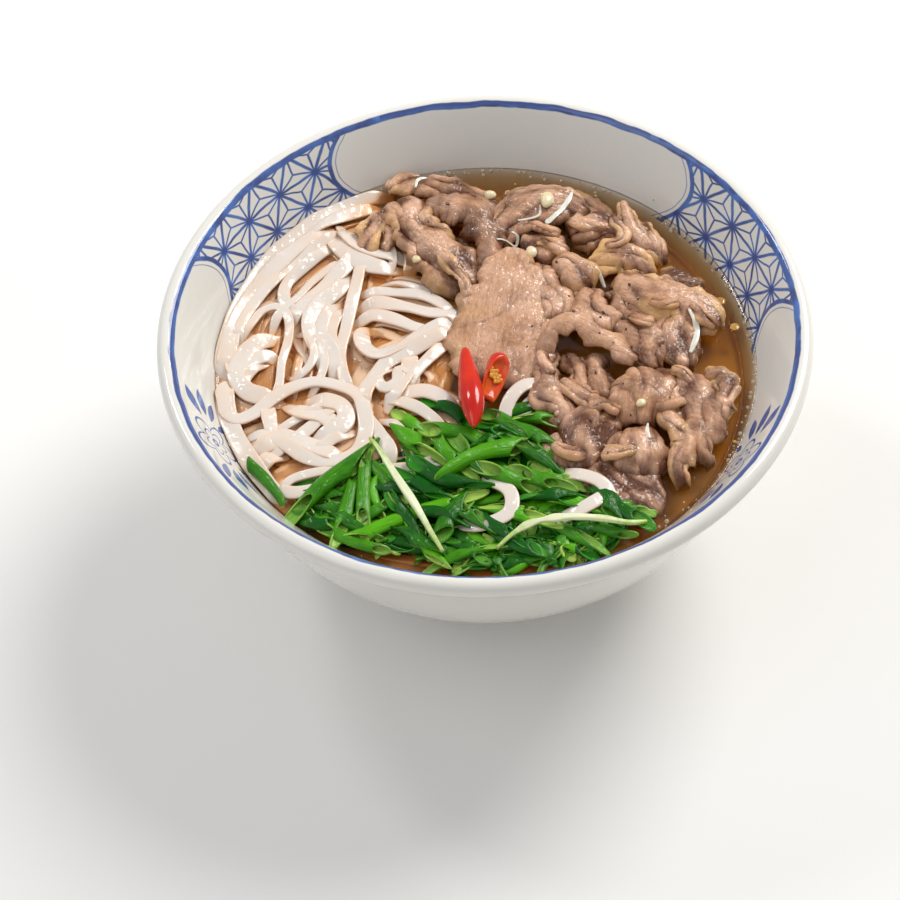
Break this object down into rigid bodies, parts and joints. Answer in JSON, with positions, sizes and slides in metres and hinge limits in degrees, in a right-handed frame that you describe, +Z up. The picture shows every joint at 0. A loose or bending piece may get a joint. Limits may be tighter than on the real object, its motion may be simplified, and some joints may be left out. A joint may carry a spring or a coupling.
{
  "type": "pho noodle soup in a bowl",
  "caption": "Beef pho in a round footed bowl: clear broth, flat rice noodles, folded beef slices, spring onion and red chilli, filled to a little under the rim.",
  "frame": {"origin": "centre of the foot ring's underside, on the surface the bowl stands on", "axes": "+Z up along the bowl's axis; +X to the diner's right; -Y towards the diner, where the spring onion lies"},
  "size_m": [0.197, 0.197, 0.0819],
  "materials": {
    "glazed_bowl": "glossy off-white glaze with painted blue pattern inside",
    "broth": "clear amber broth, wet gloss",
    "rice_noodle": "wet, translucent, soft sheen",
    "beef": "poached, moist, fibrous",
    "onion_leaf": "fresh, waxy, wet",
    "onion_stem": "pale, wet, lightly ribbed",
    "chilli": "smooth glossy skin"
  },
  "bodies": {
    "root": {"beef_back_fold": "beef", "beef_back_lump": "beef", "beef_big_right": "beef", "beef_centre_lobe": "beef", "beef_dark_lobe_a": "beef", "beef_dark_lobe_b": "beef", "beef_edge_curls": "beef", "beef_fatty_slice": "beef", "beef_flat_large": "beef", "beef_hood": "beef", "beef_inner_fold_a": "beef", "beef_inner_fold_b": "beef", "beef_left_side": "beef", "beef_low_slice": "beef", "beef_mid_right": "beef", "beef_onion_side": "beef", "beef_panel_left": "beef", "beef_panel_lobes": "beef", "beef_panel_mid": "beef", "beef_panel_right": "beef", "beef_right_lobe": "beef", "beef_roll_hook": "beef", "beef_ruffle_mid": "beef", "beef_short_strip": "beef", "beef_side_lobe": "beef", "beef_spike": "beef", "beef_strip_back": "beef", "beef_strip_left": "beef", "beef_sunk_back": "beef", "beef_sunk_leaf": "beef", "beef_thin_curl": "beef", "beef_under_hook": "beef", "beef_wall_curl": "beef", "bowl": "glazed_bowl", "broth": "broth", "chilli_cut": "chilli", "chilli_whole": "chilli", "noodles": "rice_noodle", "pale_shred_left": "onion_stem", "pale_shred_right": "onion_stem", "spring_onion_heap": "onion_leaf", "spring_onion_stray": "onion_leaf"}
  },
  "joints": []
}
